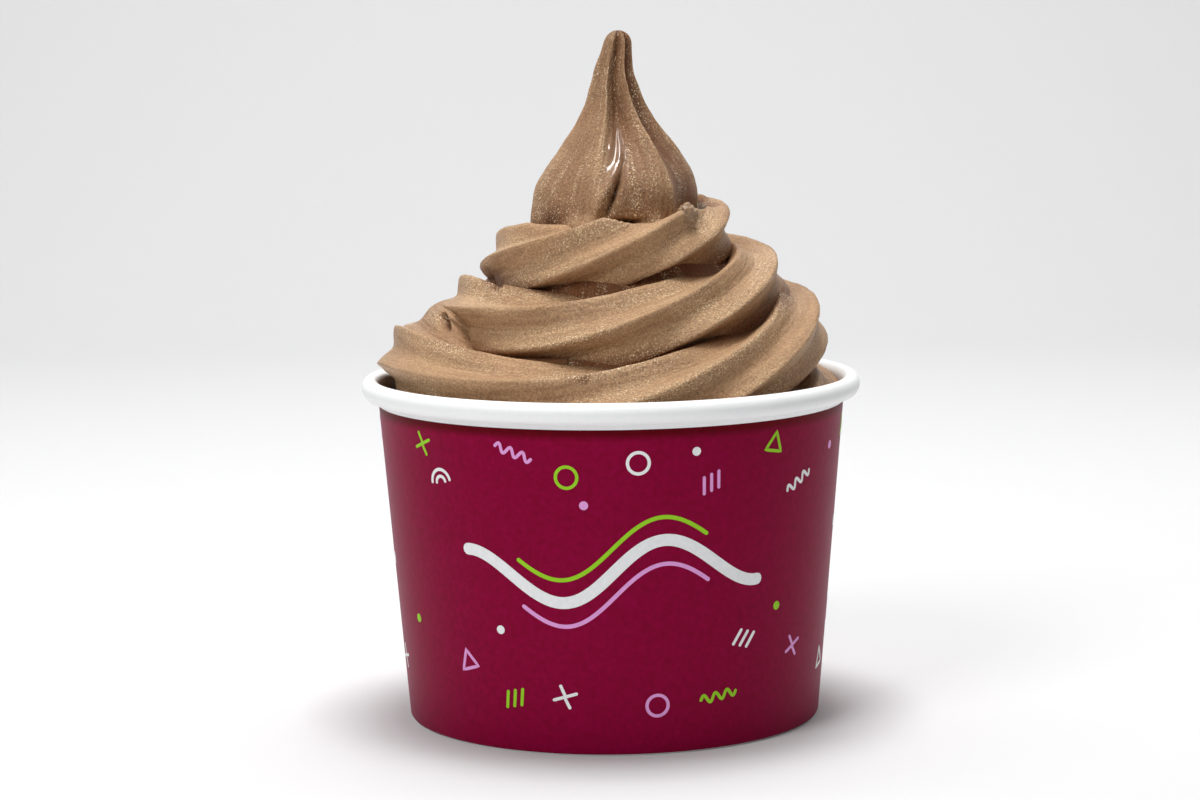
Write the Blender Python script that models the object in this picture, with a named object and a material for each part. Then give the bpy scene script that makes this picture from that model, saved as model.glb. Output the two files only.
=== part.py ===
# Soft-serve frozen yogurt, piped as a star rope, in a paper cup.
# Metres, +Z up. The cup's axis is the Z axis, its foot stands on z = 0, and the side
# that it is looked at from faces -Y.

from math import atan2, cos, hypot, pi, radians, sin, sqrt, tan

import bmesh
import bpy
from mathutils import Vector

PRINT_COLOUR = (0.205, 0.003, 0.024)
BOARD_COLOUR = (0.75, 0.76, 0.74)
YOGURT_COLOUR = (0.38, 0.22, 0.125)
CREASE_ANGLE = radians(40)

# Paper cup: a leaning wall that is rolled over outwards at the top and folded in at the foot
SEGMENTS = 64
PAPER = 0.0005
FOOT_RADIUS = 0.04635
WALL_LEAN = radians(4.75)
RIM_RADIUS = 0.056
RIM_MIDDLE_Z = 0.07475
RIM_HALF_DEPTH = 0.00235
ROLL_STEPS = 11
ROLL_END = radians(-140)
FOLD_GAP = 0.0011
FOLD_STEPS = 3
HEM_TOP_Z = 0.0068

# Cup bottom: a disc with a turned-down edge that sits in the foot's fold
CLEARANCE = 0.0003
BOTTOM_TOP_Z = 0.0082
SKIRT_FOOT_Z = 0.0019
BOTTOM_BEND = 0.0006

# The yogurt that fills the cup, and the solid middle of the swirl
FILL_Z = 0.0705
FILL_OVERLAP = 0.0012
CORE_FOOT_RADIUS = 0.0450
CORE_TOP_Z = 0.1090
CORE_STEPS = 10
CORE_EDGE_RISE = 0.0010
CORE_SWELL = 0.0020
CORE_PAST_END = 0.25
KEEP_OUT_RADIUS = 0.0700

# The rope, out of a nozzle with six teeth. Its middle is given at each half turn, from inside the
# cup on the right. Before that it rises a quarter turn out of the filling.
RIDGES = 6
ROPE_RADIUS = 0.0098
ROPE_TALLNESS = 0.98
FLUTE_DEPTH = 0.27
RIDGE_ROUNDING = 0.06
POINTS_PER_RIDGE = 4
STEPS_PER_TURN = 36
START_TURN = -0.25
START_SINK = 0.5
END_TURN = 3.25
JOINT_SHARE = 0.98
HALF_TURN_RADII = (0.0450, 0.0428, 0.0393, 0.0289, 0.0307, 0.0193, 0.0186, 0.0050)
HALF_TURN_HEIGHTS = (0.0690, 0.0806, 0.0876, 0.0909, 0.0971, 0.1015, 0.1088, 0.1060)
FRONT_SAG = 0.01375
SAG_LOSS_PER_TURN = 0.005
SAG_SHARPNESS = 1.5

# The ridges' turn about the rope: once for each turn of the coil, slower on the left
RIDGE_LEAD = radians(24)
RIDGE_TWIST = radians(388)
TWIST_SLOWING = radians(-8)
LEAD_BY_SIDE = (radians(-8), radians(-5))
LEAD_BY_QUARTER = (radians(11), radians(-7))

# The peak that was drawn up out of the last turn, and that keeps the rope's six ridges upright.
# Each flute is the hollow after the ridge of the same place in the rows, anticlockwise.
PEAK_POINTS_PER_FLUTE = 5
PEAK_STEPS = 28
PEAK_STEP_CROWDING = 1.3
PEAK_TIP_Z = 0.1538
PEAK_TIP_ROUND = 0.0030
PEAK_TIP_FLAT = 0.00005
PEAK_BASE_Z = 0.1120
PEAK_UNDERSIDE_Z = 0.1060
PEAK_UNDERSIDE_TUCK = 0.75
PEAK_VALUE_STEP = 0.008
PEAK_RADII = (0.0190, 0.0181, 0.0131, 0.0076, 0.0047, 0.0031)
PEAK_LEANS = (0.0009, 0.0016, 0.0021, 0.0017, 0.0014, 0.0024)
RIDGE_AZIMUTHS_AT_FOOT = (259, 315, 368, 430, 492, 556)
RIDGE_AZIMUTHS_AT_TIP = (251, 301, 353, 412, 475, 549)
FLUTES_AT_FOOT = (0.05, 0.10, 0.10, 0.10, 0.10, 0.05)
FLUTES_AT_TIP = (0.50, 0.50, 0.30, 0.30, 0.30, 0.10)
FLUTE_SKEWS = (0.62, 0.85, 1.0, 1.0, 1.0, 1.0)
FLUTES_OPEN_FROM = 0.22
FLUTES_OPEN_OVER = 0.40

# The seat that the peak's foot presses into the last turn, wider on the side that faces front
SEAT_Z = 0.1116
SEAT_RADIUS = 0.0180
SEAT_FRONT_REACH = 0.0045
SEAT_FRONT = radians(285)
SEAT_SLOPE = 1.6
SEAT_GIVE = 0.1


def wall_outside(height):
    return FOOT_RADIUS + height * tan(WALL_LEAN)


def wall_inside(height):
    return wall_outside(height) - PAPER


def add_object(name, mesh_data, colour, roughness):
    """An object from a bmesh, shaded smooth, with a material of its own."""
    bmesh.ops.recalc_face_normals(mesh_data, faces=mesh_data.faces)
    mesh = bpy.data.meshes.new(name)
    mesh_data.to_mesh(mesh)
    mesh_data.free()
    mesh.shade_smooth()
    mesh.set_sharp_from_angle(angle=CREASE_ANGLE)
    material = bpy.data.materials.new(name)
    material.use_nodes = True
    shader = material.node_tree.nodes["Principled BSDF"]
    shader.inputs["Base Color"].default_value = (*colour, 1)
    shader.inputs["Roughness"].default_value = roughness
    mesh.materials.append(material)
    built = bpy.data.objects.new(name, mesh)
    bpy.context.scene.collection.objects.link(built)
    return built


def turned(outline, closed):
    """A body turned about the Z axis from (radius, height) points."""
    body = bmesh.new()
    points = [body.verts.new((point[0], 0, point[1])) for point in outline]
    pairs = list(zip(points, points[1:]))
    if closed:
        pairs.append((points[-1], points[0]))
    edges = [body.edges.new(pair) for pair in pairs]
    bmesh.ops.spin(body, geom=points + edges, cent=(0, 0, 0), axis=(0, 0, 1),
                   angle=2 * pi, steps=SEGMENTS, use_merge=True)
    bmesh.ops.remove_doubles(body, verts=body.verts, dist=1e-6)
    return body


def paper_outline(path):
    """The closed outline of a sheet of paper whose middle follows a path."""
    left = []
    right = []
    for place, point in enumerate(path):
        before = path[max(place - 1, 0)]
        after = path[min(place + 1, len(path) - 1)]
        along_in = (point - before).normalized() if place else (after - point).normalized()
        along_out = (after - point).normalized() if after != point else along_in
        side_in = Vector((-along_in.y, along_in.x))
        side_out = Vector((-along_out.y, along_out.x))
        side = (side_in + side_out) / (1 + side_in.dot(side_out)) * PAPER / 2
        left.append(point + side)
        right.append(point - side)
    return left + right[::-1]


def cup_wall():
    """Hem, fold, leaning wall and rolled rim, all one sheet of paper."""
    fold_radius = (FOLD_GAP + PAPER) / 2
    fold_flat = cos(pi / (2 * FOLD_STEPS))
    fold_z = fold_radius * fold_flat + PAPER / 2
    path = [Vector((wall_outside(HEM_TOP_Z) - PAPER / 2 - 2 * fold_radius, HEM_TOP_Z))]
    for step in range(FOLD_STEPS + 1):
        angle = pi + pi * step / FOLD_STEPS
        middle = wall_outside(fold_z) - PAPER / 2 - fold_radius
        path.append(Vector((middle + fold_radius * cos(angle), fold_z + fold_radius * sin(angle))))
    rim_wall = wall_outside(RIM_MIDDLE_Z) - PAPER / 2
    half_width = (RIM_RADIUS - PAPER / 2 - rim_wall) / 2
    half_depth = RIM_HALF_DEPTH - PAPER / 2
    for step in range(ROLL_STEPS + 1):
        angle = pi + (ROLL_END - pi) * step / ROLL_STEPS
        path.append(Vector((rim_wall + half_width + half_width * cos(angle),
                            RIM_MIDDLE_Z + half_depth * sin(angle))))
    body = turned(paper_outline(path), closed=True)
    return add_object("cup_wall", body, PRINT_COLOUR, 0.5)


def cup_bottom():
    """A paper disc with a skirt that hangs in the fold of the wall."""
    outer_top = wall_inside(BOTTOM_TOP_Z) - CLEARANCE
    outer_foot = wall_inside(SKIRT_FOOT_Z) - CLEARANCE
    under_z = BOTTOM_TOP_Z - PAPER
    outline = [
        (0, BOTTOM_TOP_Z),
        (outer_top - BOTTOM_BEND, BOTTOM_TOP_Z),
        (outer_top, BOTTOM_TOP_Z - BOTTOM_BEND),
        (outer_foot, SKIRT_FOOT_Z),
        (outer_foot - PAPER, SKIRT_FOOT_Z),
        (wall_inside(under_z) - CLEARANCE - PAPER, under_z),
        (0, under_z),
    ]
    return add_object("cup_bottom", turned(outline, closed=False), BOARD_COLOUR, 0.55)


def smooth_between(values, place):
    """A curve through evenly spaced values (Catmull-Rom), read at a place along them."""
    last = len(values) - 1
    step = min(max(int(place), 0), last - 1)
    blend = place - step
    before = values[max(step - 1, 0)]
    after = values[min(step + 2, last)]
    start = values[step]
    end = values[step + 1]
    return 0.5 * (2 * start + (end - before) * blend
                  + (2 * before - 5 * start + 4 * end - after) * blend ** 2
                  + (3 * start - before - 3 * end + after) * blend ** 3)


def fluted(wave, depth):
    """Distance of a fluted outline from its middle, as a share of the distance to its ridges."""
    return 1 - depth * (sqrt(wave ** 2 + RIDGE_ROUNDING ** 2) - RIDGE_ROUNDING)


def rope_middle(turn):
    """Radius and height of the rope's middle, a number of turns from its first half turn."""
    if turn < 0:
        return HALF_TURN_RADII[0], HALF_TURN_HEIGHTS[0] - START_SINK * turn ** 2
    radius = smooth_between(HALF_TURN_RADII, 2 * turn)
    height = smooth_between(HALF_TURN_HEIGHTS, 2 * turn)
    sag = max(FRONT_SAG - SAG_LOSS_PER_TURN * turn, 0)
    return radius, height - sag * max(-sin(2 * pi * turn), 0) ** SAG_SHARPNESS


def seated(point):
    """The point, pressed down where the peak's foot stands on the last turn."""
    facing = 0.5 + 0.5 * cos(atan2(point.y, point.x) - SEAT_FRONT)
    reach = SEAT_RADIUS + SEAT_FRONT_REACH * facing ** 2
    ceiling = SEAT_Z + SEAT_SLOPE * max(hypot(point.x, point.y) - reach, 0)
    if point.z > ceiling:
        point.z = ceiling + SEAT_GIVE * (point.z - ceiling)
    return point


def rope_section(turn):
    """The points round the rope, a number of turns from its first half turn."""
    around = 2 * pi * turn
    radius, height = rope_middle(turn)
    lead = (RIDGE_LEAD + RIDGE_TWIST * turn + TWIST_SLOWING * turn ** 2
            + LEAD_BY_SIDE[0] * cos(around) + LEAD_BY_SIDE[1] * sin(around)
            + LEAD_BY_QUARTER[0] * cos(2 * around) + LEAD_BY_QUARTER[1] * sin(2 * around))
    count = RIDGES * POINTS_PER_RIDGE
    points = []
    for place in range(count):
        angle = 2 * pi * place / count
        reach = ROPE_RADIUS * fluted(sin(RIDGES * angle / 2), FLUTE_DEPTH)
        out = radius + reach * cos(angle + lead)
        up = height + ROPE_TALLNESS * reach * sin(angle + lead)
        points.append(seated(Vector((out * cos(around), out * sin(around), up))))
    return points


def lofted(sections):
    """A closed body through rings of points, with a flat fan at each end."""
    body = bmesh.new()
    rings = [[body.verts.new(point) for point in section] for section in sections]
    for ring, following in zip(rings, rings[1:]):
        for place in range(len(ring)):
            after = (place + 1) % len(ring)
            body.faces.new((ring[place], ring[after], following[after], following[place]))
    for ring in (rings[0], rings[-1]):
        middle = body.verts.new(sum((vert.co for vert in ring), Vector()) / len(ring))
        for place in range(len(ring)):
            body.faces.new((ring[place], ring[(place + 1) % len(ring)], middle))
    bmesh.ops.triangulate(body, faces=body.faces)
    return body


def shrunk(section):
    """The same section drawn in a little towards its middle."""
    middle = sum(section, Vector()) / len(section)
    return [middle + (point - middle) * JOINT_SHARE for point in section]


def rope_pieces():
    """The coil as half turns that cross over each other where they meet."""
    steps = round((END_TURN - START_TURN) * STEPS_PER_TURN)
    piece_steps = STEPS_PER_TURN // 2
    pieces = []
    for first in range(0, steps, piece_steps):
        last = min(first + piece_steps + 1, steps)
        sections = [rope_section(START_TURN + place / STEPS_PER_TURN)
                    for place in range(first, last + 1)]
        if first:
            sections[0] = shrunk(sections[0])
        if last < steps:
            sections[-1] = shrunk(sections[-1])
        pieces.append(lofted(sections))
    return pieces


def peak_ring(lean, radius, rise, height):
    """One ring of the peak: its ridges at a share of the rise from foot to tip, and its flutes."""
    ridges = [radians(foot + (tip - foot) * rise)
              for foot, tip in zip(RIDGE_AZIMUTHS_AT_FOOT, RIDGE_AZIMUTHS_AT_TIP)]
    ends = ridges[1:] + [ridges[0] + 2 * pi]
    opening = min(max((rise - FLUTES_OPEN_FROM) / FLUTES_OPEN_OVER, 0), 1)
    opening = opening * opening * (3 - 2 * opening)
    ring = []
    for number in range(RIDGES):
        depth = FLUTES_AT_FOOT[number]
        depth += (FLUTES_AT_TIP[number] - depth) * opening
        for point in range(PEAK_POINTS_PER_FLUTE):
            across = point / PEAK_POINTS_PER_FLUTE
            angle = ridges[number] + (ends[number] - ridges[number]) * across
            reach = radius * fluted(sin(pi * across ** FLUTE_SKEWS[number]), depth)
            ring.append(Vector((lean + reach * cos(angle), reach * sin(angle), height)))
    return ring


def peak():
    """The drawn-up point: upright ridges that narrow, with a rounded tip and underside."""
    sections = []
    for step in range(PEAK_STEPS + 1):
        share = 1 - (1 - step / PEAK_STEPS) ** PEAK_STEP_CROWDING
        height = PEAK_UNDERSIDE_Z + (PEAK_TIP_Z - PEAK_UNDERSIDE_Z) * share
        if step == PEAK_STEPS:
            height = PEAK_TIP_Z - PEAK_TIP_FLAT
        place = max(height - PEAK_BASE_Z, 0) / PEAK_VALUE_STEP
        under = max(PEAK_BASE_Z - height, 0) / (PEAK_BASE_Z - PEAK_UNDERSIDE_Z)
        tip = max(height - PEAK_TIP_Z + PEAK_TIP_ROUND, 0) / PEAK_TIP_ROUND
        radius = smooth_between(PEAK_RADII, place) * sqrt(1 - PEAK_UNDERSIDE_TUCK * under ** 2)
        radius *= sqrt(1 - tip ** 2)
        rise = max(height - PEAK_BASE_Z, 0) / (PEAK_TIP_Z - PEAK_BASE_Z)
        sections.append(peak_ring(smooth_between(PEAK_LEANS, place), radius, rise, height))
    return lofted(sections)


def core_radius(around, height):
    """Distance from the axis to the line that joins the rope's middles, one above the other."""
    turn = around / (2 * pi)
    middles = []
    while turn <= END_TURN + CORE_PAST_END:
        middles.append(rope_middle(turn))
        turn += 1
    if height <= middles[0][1]:
        return middles[0][0]
    for (radius, low), (next_radius, high) in zip(middles, middles[1:]):
        if height <= high:
            return radius + (next_radius - radius) * (height - low) / (high - low)
    return middles[-1][0] - (height - middles[-1][1])


def core():
    """What fills the cup, and the solid middle that the coil lies round."""
    outline = [
        (wall_inside(BOTTOM_TOP_Z) + FILL_OVERLAP, BOTTOM_TOP_Z + CLEARANCE),
        (wall_inside(FILL_Z) + FILL_OVERLAP, FILL_Z),
    ]
    sections = []
    for step in range(CORE_STEPS + 1):
        height = FILL_Z + (CORE_TOP_Z - FILL_Z) * step / CORE_STEPS + CORE_EDGE_RISE
        outline.append((None, height))
    for radius, height in outline:
        ring = []
        for place in range(SEGMENTS):
            around = 2 * pi * place / SEGMENTS
            reach = radius or min(core_radius(around, height) + CORE_SWELL, CORE_FOOT_RADIUS)
            ring.append(Vector((reach * cos(around), reach * sin(around), height)))
        sections.append(ring)
    return lofted(sections)


def keep_out():
    """The space that the cup takes, and its clearance, as one thick ring."""
    half_width = (RIM_RADIUS - wall_inside(RIM_MIDDLE_Z)) / 2 + CLEARANCE
    half_depth = RIM_HALF_DEPTH + CLEARANCE
    middle = RIM_RADIUS + CLEARANCE - half_width
    outline = [(KEEP_OUT_RADIUS, 0), (wall_inside(0) - CLEARANCE, 0)]
    for step in range(ROLL_STEPS):
        angle = pi - pi * step / (ROLL_STEPS - 1)
        outline.append((middle + half_width * cos(angle), RIM_MIDDLE_Z + half_depth * sin(angle)))
    outline.append((KEEP_OUT_RADIUS, RIM_MIDDLE_Z))
    return turned(outline, closed=True)


def keep_outer_shell(body):
    """Fills the hollows that joining has sealed, by deleting every shell but the largest."""
    waiting = set(body.faces)
    shells = []
    while waiting:
        shell = {waiting.pop()}
        edge_of_shell = list(shell)
        while edge_of_shell:
            face = edge_of_shell.pop()
            for beside in (other for edge in face.edges for other in edge.link_faces):
                if beside in waiting:
                    waiting.remove(beside)
                    shell.add(beside)
                    edge_of_shell.append(beside)
        shells.append(shell)
    shells.sort(key=lambda shell: sum(face.calc_area() for face in shell))
    inner = [face for shell in shells[:-1] for face in shell]
    bmesh.ops.delete(body, geom=inner, context="FACES")


def froyo():
    """Core, coil and peak joined into one body, cut clear of the cup."""
    joined = add_object("froyo_swirl", core(), YOGURT_COLOUR, 0.45)
    group = bpy.data.collections.new("swirl_pieces")
    bpy.context.scene.collection.children.link(group)
    for number, body in enumerate(rope_pieces() + [peak()]):
        piece = add_object(f"swirl_piece_{number}", body, YOGURT_COLOUR, 0.45)
        bpy.context.scene.collection.objects.unlink(piece)
        group.objects.link(piece)
    join = joined.modifiers.new("join", "BOOLEAN")
    join.operand_type = "COLLECTION"
    join.collection = group
    join.operation = "UNION"
    join.solver = "MANIFOLD"
    cutter = add_object("swirl_keep_out", keep_out(), BOARD_COLOUR, 0.5)
    cut = joined.modifiers.new("cut", "BOOLEAN")
    cut.object = cutter
    cut.operation = "DIFFERENCE"
    cut.solver = "MANIFOLD"
    evaluated = joined.evaluated_get(bpy.context.evaluated_depsgraph_get())
    finished = bmesh.new()
    finished.from_mesh(bpy.data.meshes.new_from_object(evaluated))
    joined.modifiers.clear()
    for piece in list(group.objects) + [cutter]:
        bpy.data.objects.remove(piece)
    bpy.data.collections.remove(group)
    keep_outer_shell(finished)
    finished.to_mesh(joined.data)
    finished.free()
    joined.data.shade_smooth()
    joined.data.set_sharp_from_angle(angle=CREASE_ANGLE)


for old in list(bpy.data.objects):
    bpy.data.objects.remove(old)
cup_wall()
cup_bottom()
froyo()
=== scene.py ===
from math import atan2, cos, exp, hypot, pi, radians, sin, sqrt, tan

import bmesh
import bpy
from mathutils import Matrix, Vector, noise


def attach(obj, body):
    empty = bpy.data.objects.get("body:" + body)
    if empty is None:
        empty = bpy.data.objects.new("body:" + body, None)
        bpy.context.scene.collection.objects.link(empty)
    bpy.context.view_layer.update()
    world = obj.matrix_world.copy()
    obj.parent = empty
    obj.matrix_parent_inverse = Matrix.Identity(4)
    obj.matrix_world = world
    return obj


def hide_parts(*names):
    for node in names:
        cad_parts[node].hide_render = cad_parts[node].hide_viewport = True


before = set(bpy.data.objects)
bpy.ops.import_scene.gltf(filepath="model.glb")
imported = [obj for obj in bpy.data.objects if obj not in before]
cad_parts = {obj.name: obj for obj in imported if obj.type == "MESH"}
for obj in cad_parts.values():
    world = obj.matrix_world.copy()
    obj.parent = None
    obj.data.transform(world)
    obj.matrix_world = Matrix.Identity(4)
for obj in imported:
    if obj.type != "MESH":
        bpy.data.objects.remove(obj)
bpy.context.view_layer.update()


# Camera: the photograph's view. It stands some 0.7 m in front of the cup, looks down by about
# seven degrees, so that the rim shows as a flat ellipse, and leans a little to one side.
SENSOR_WIDTH_MM = 36
LENS_MM = 93.785
CAMERA_PLACE = (-0.0024807, -0.69971, 0.159458)
LOOK_DOWN = 0.1258
CAMERA_ROLL = -0.0121
bpy.ops.object.select_all(action="DESELECT")
bpy.ops.object.camera_add()
camera = bpy.context.object
camera.name = "camera"
camera.data.sensor_width = SENSOR_WIDTH_MM
camera.data.lens = LENS_MM
camera.data.clip_start = 0.01
camera.matrix_world = (Matrix.Translation(CAMERA_PLACE)
                       @ Matrix.Rotation(pi / 2 - LOOK_DOWN, 4, "X")
                       @ Matrix.Rotation(CAMERA_ROLL, 4, "Z"))
bpy.context.scene.camera = camera
bpy.context.scene.view_settings.view_transform = "Standard"


# Floor and backdrop: one sheet of pale studio board. It lies flat under the cup and bends up
# behind it, so that no edge shows where the floor ends.
FLOOR_WIDTH = 6
FLOOR_LENGTH = 2.2
BACKDROP_DEPTH = 0.75
BACKDROP_BEND = 0.30
BACKDROP_HEIGHT = 2.2
BEND_STEPS = 12
STUDIO_GREY = (0.76, 0.76, 0.765, 1)
bpy.ops.object.select_all(action="DESELECT")
bpy.ops.mesh.primitive_plane_add(size=1, location=(0, 0, 0))
backdrop = bpy.context.object
backdrop.name = "studio_backdrop"
bpy.ops.object.mode_set(mode="EDIT")
bpy.ops.mesh.select_all(action="SELECT")
bpy.ops.transform.resize(value=(FLOOR_WIDTH, FLOOR_LENGTH, 1))
bpy.ops.transform.translate(value=(0, BACKDROP_DEPTH - FLOOR_LENGTH / 2, 0))
bpy.ops.object.mode_set(mode="OBJECT")
for edge in backdrop.data.edges:
    ends = [backdrop.data.vertices[i].co.y for i in edge.vertices]
    edge.select = min(ends) > 0
for vert in backdrop.data.vertices:
    vert.select = vert.co.y > 0
for face in backdrop.data.polygons:
    face.select = False
bpy.ops.object.mode_set(mode="EDIT")
for step in range(BEND_STEPS):
    angle = radians(90) * (step + 0.5) / BEND_STEPS
    stride = radians(90) / BEND_STEPS * BACKDROP_BEND
    bpy.ops.mesh.extrude_region_move(TRANSFORM_OT_translate={
        "value": (0, stride * cos(angle), stride * sin(angle))})
bpy.ops.mesh.extrude_region_move(TRANSFORM_OT_translate={"value": (0, 0, BACKDROP_HEIGHT)})
bpy.ops.mesh.select_all(action="SELECT")
bpy.ops.mesh.normals_make_consistent(inside=False)
bpy.ops.object.mode_set(mode="OBJECT")
bpy.ops.object.shade_smooth()
board = bpy.data.materials.new("studio_board")
board.use_nodes = True
shader = board.node_tree.nodes["Principled BSDF"]
shader.inputs["Base Color"].default_value = STUDIO_GREY
shader.inputs["Roughness"].default_value = 0.9
shader.inputs["Specular IOR Level"].default_value = 0.1
backdrop.data.materials.append(board)


# Light: a soft panel above and one high on the front left, weak ones behind and on the right,
# one that lights the backdrop, and a pale room.
SWIRL_MIDDLE = (0, 0, 0.08)
ROOM_LIGHT = 0.19


def add_panel(name, place, target, width, height, power):
    """A rectangular soft light that faces a point, with its power in watts."""
    bpy.ops.object.select_all(action="DESELECT")
    bpy.ops.object.light_add(type="AREA", location=place)
    panel = bpy.context.object
    panel.name = name
    panel.data.shape = "RECTANGLE"
    panel.data.size = width
    panel.data.size_y = height
    panel.data.energy = power
    facing = Vector(target) - Vector(place)
    panel.rotation_euler = facing.to_track_quat("-Z", "Y").to_euler()


add_panel("overhead_light", (0, 0, 1.0), SWIRL_MIDDLE, 0.30, 0.30, 6.2)
add_panel("back_light", (0.05, 0.28, 0.95), SWIRL_MIDDLE, 0.30, 0.30, 0.7)
add_panel("front_light", (-0.5, -0.7, 0.75), SWIRL_MIDDLE, 0.40, 0.40, 4.4)
add_panel("right_light", (0.5, -0.7, 0.75), SWIRL_MIDDLE, 0.40, 0.40, 0.10)
add_panel("backdrop_light", (0, 0.35, 1.1), (0, 0.9, 0.3), 1.6, 0.4, 6.5)
room = bpy.data.worlds.new("pale_room")
bpy.context.scene.world = room
room.use_nodes = True
room.node_tree.nodes["Background"].inputs["Color"].default_value = (1, 1, 1, 1)
room.node_tree.nodes["Background"].inputs["Strength"].default_value = ROOM_LIGHT


# Cup wall: one sheet of coated paperboard, 0.5 mm thick, wound into a cone and lapped at the
# back. Its top is rolled over outwards into the rim, its foot folded in and up as a hem.
PAPER = 0.0005
FOOT_RADIUS = 0.04635
WALL_LEAN = radians(4.75)
RIM_RADIUS = 0.056
RIM_MIDDLE_Z = 0.07475
RIM_HALF_DEPTH = 0.00235
ROLL_SWEEP = radians(320)
ROLL_STEPS = 24
HEM_TOP_Z = 0.0068
HEM_BEND_Z = 0.004
FOLD_RADIUS = 0.0008
FOLD_LIFT = 0.00001
FOLD_STEPS = 8
WALL_FROM_Z = 0.003
WALL_TO_Z = 0.0712
WALL_STEPS = 19
WALL_SIDES = 180
LAP_AZIMUTH = radians(104)
LAP_WIDTH = radians(22)
LAP_STEP = 0.00022
LAP_FROM_Z = 0.002
LAP_TO_Z = 0.0722
PRINT_TO_Z = 0.0723
PRINT_FACING = -0.35
PRINT_TONES = ((0.205, 0.0004, 0.026), (0.268, 0.0006, 0.044))
PRINT_SHEEN = (1, 0.72, 0.92, 1)
# Painted shadow: the print is darkened in a band just under the rim, where the rim's roll shades
# the wall.
RIM_PAINTED_SHADOW_FROM_Z = 0.0686
RIM_PAINTED_SHADOW_TO_Z = 0.0702
RIM_PAINTED_SHADOW = (0.50, 0.22, 0.16)
BOARD_TONES = ((0.94, 0.955, 0.955), (0.98, 0.985, 0.985))


def wall_outside(height):
    return FOOT_RADIUS + height * tan(WALL_LEAN)


def wall_inside(height):
    return wall_outside(height) - PAPER


def active_material(piece, name, roughness):
    """A new material on a piece, with its shader."""
    material = bpy.data.materials.new(name)
    material.use_nodes = True
    finish = material.node_tree.nodes["Principled BSDF"]
    finish.inputs["Roughness"].default_value = roughness
    piece.data.materials.append(material)
    return material, finish


def object_noise(material, scale, detail, roughness=0.5):
    """A noise texture on Object coordinates, at a scale of waves for each metre."""
    tree = material.node_tree
    place = tree.nodes.new("ShaderNodeTexCoord")
    grain = tree.nodes.new("ShaderNodeTexNoise")
    grain.inputs["Scale"].default_value = scale
    grain.inputs["Detail"].default_value = detail
    grain.inputs["Roughness"].default_value = roughness
    tree.links.new(place.outputs["Object"], grain.inputs["Vector"])
    return grain


def ramp(material, source, stops):
    """A colour ramp over a value, from (position, colour) stops."""
    tree = material.node_tree
    bar = tree.nodes.new("ShaderNodeValToRGB")
    while len(bar.color_ramp.elements) < len(stops):
        bar.color_ramp.elements.new(0.5)
    for element, (position, colour) in zip(bar.color_ramp.elements, stops):
        element.position = position
        element.color = (*colour, 1)
    tree.links.new(source, bar.inputs["Fac"])
    return bar


def multiplied(material, first, second):
    """The product of two colours, as where a shade lies over a tone."""
    tree = material.node_tree
    product = tree.nodes.new("ShaderNodeMixRGB")
    product.blend_type = "MULTIPLY"
    product.inputs["Fac"].default_value = 1
    tree.links.new(first, product.inputs["Color1"])
    tree.links.new(second, product.inputs["Color2"])
    return product.outputs["Color"]


def bumped(material, finish, height, distance, strength=1.0, under=None):
    """Relief in metres from a height value, over another relief if one is given."""
    tree = material.node_tree
    relief = tree.nodes.new("ShaderNodeBump")
    relief.inputs["Strength"].default_value = strength
    relief.inputs["Distance"].default_value = distance
    tree.links.new(height, relief.inputs["Height"])
    if under:
        tree.links.new(under.outputs["Normal"], relief.inputs["Normal"])
    tree.links.new(relief.outputs["Normal"], finish.inputs["Normal"])
    return relief


sheet_line = [(wall_outside(HEM_TOP_Z) - PAPER / 2 - 2 * FOLD_RADIUS, HEM_TOP_Z),
              (wall_outside(HEM_BEND_Z) - PAPER / 2 - 2 * FOLD_RADIUS, HEM_BEND_Z)]
fold_z = FOLD_RADIUS + PAPER / 2 + FOLD_LIFT
fold_middle = wall_outside(fold_z) - PAPER / 2 - FOLD_RADIUS
for step in range(FOLD_STEPS + 1):
    angle = pi + pi * step / FOLD_STEPS
    sheet_line.append((fold_middle + FOLD_RADIUS * cos(angle), fold_z + FOLD_RADIUS * sin(angle)))
for step in range(1, WALL_STEPS + 1):
    height = WALL_FROM_Z + (WALL_TO_Z - WALL_FROM_Z) * step / WALL_STEPS
    sheet_line.append((wall_outside(height) - PAPER / 2, height))
rim_inner = wall_outside(RIM_MIDDLE_Z) - PAPER / 2
rim_half_width = (RIM_RADIUS - PAPER / 2 - rim_inner) / 2
rim_half_depth = RIM_HALF_DEPTH - PAPER / 2
for step in range(ROLL_STEPS + 1):
    angle = pi - ROLL_SWEEP * step / ROLL_STEPS
    sheet_line.append((rim_inner + rim_half_width * (1 + cos(angle)),
                       RIM_MIDDLE_Z + rim_half_depth * sin(angle)))
bpy.ops.object.select_all(action="DESELECT")
bpy.ops.mesh.primitive_circle_add(vertices=WALL_SIDES, radius=sheet_line[0][0],
                                  location=(0, 0, sheet_line[0][1]))
cup = bpy.context.object
cup.name = "cup_paper"
bpy.ops.object.transform_apply()
bpy.ops.object.mode_set(mode="EDIT")
bpy.ops.mesh.select_all(action="SELECT")
for (radius, height), (next_radius, next_height) in zip(sheet_line, sheet_line[1:]):
    bpy.ops.mesh.extrude_region_move(TRANSFORM_OT_translate={
        "value": (0, 0, next_height - height)})
    share = next_radius / radius
    bpy.ops.transform.resize(value=(share, share, 1), center_override=(0, 0, next_height))
bpy.ops.mesh.select_all(action="SELECT")
bpy.ops.mesh.normals_make_consistent(inside=False)
bpy.ops.object.mode_set(mode="OBJECT")
for vert in cup.data.vertices:
    past_lap = (atan2(vert.co.y, vert.co.x) - LAP_AZIMUTH) % (2 * pi)
    on_cone = (LAP_FROM_Z < vert.co.z < LAP_TO_Z
               and hypot(vert.co.x, vert.co.y) > wall_inside(vert.co.z))
    if on_cone and past_lap < LAP_WIDTH:
        outwards = Vector((vert.co.x, vert.co.y, 0)).normalized()
        vert.co += outwards * LAP_STEP * (1 - past_lap / LAP_WIDTH)
thick = cup.modifiers.new("board", "SOLIDIFY")
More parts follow.
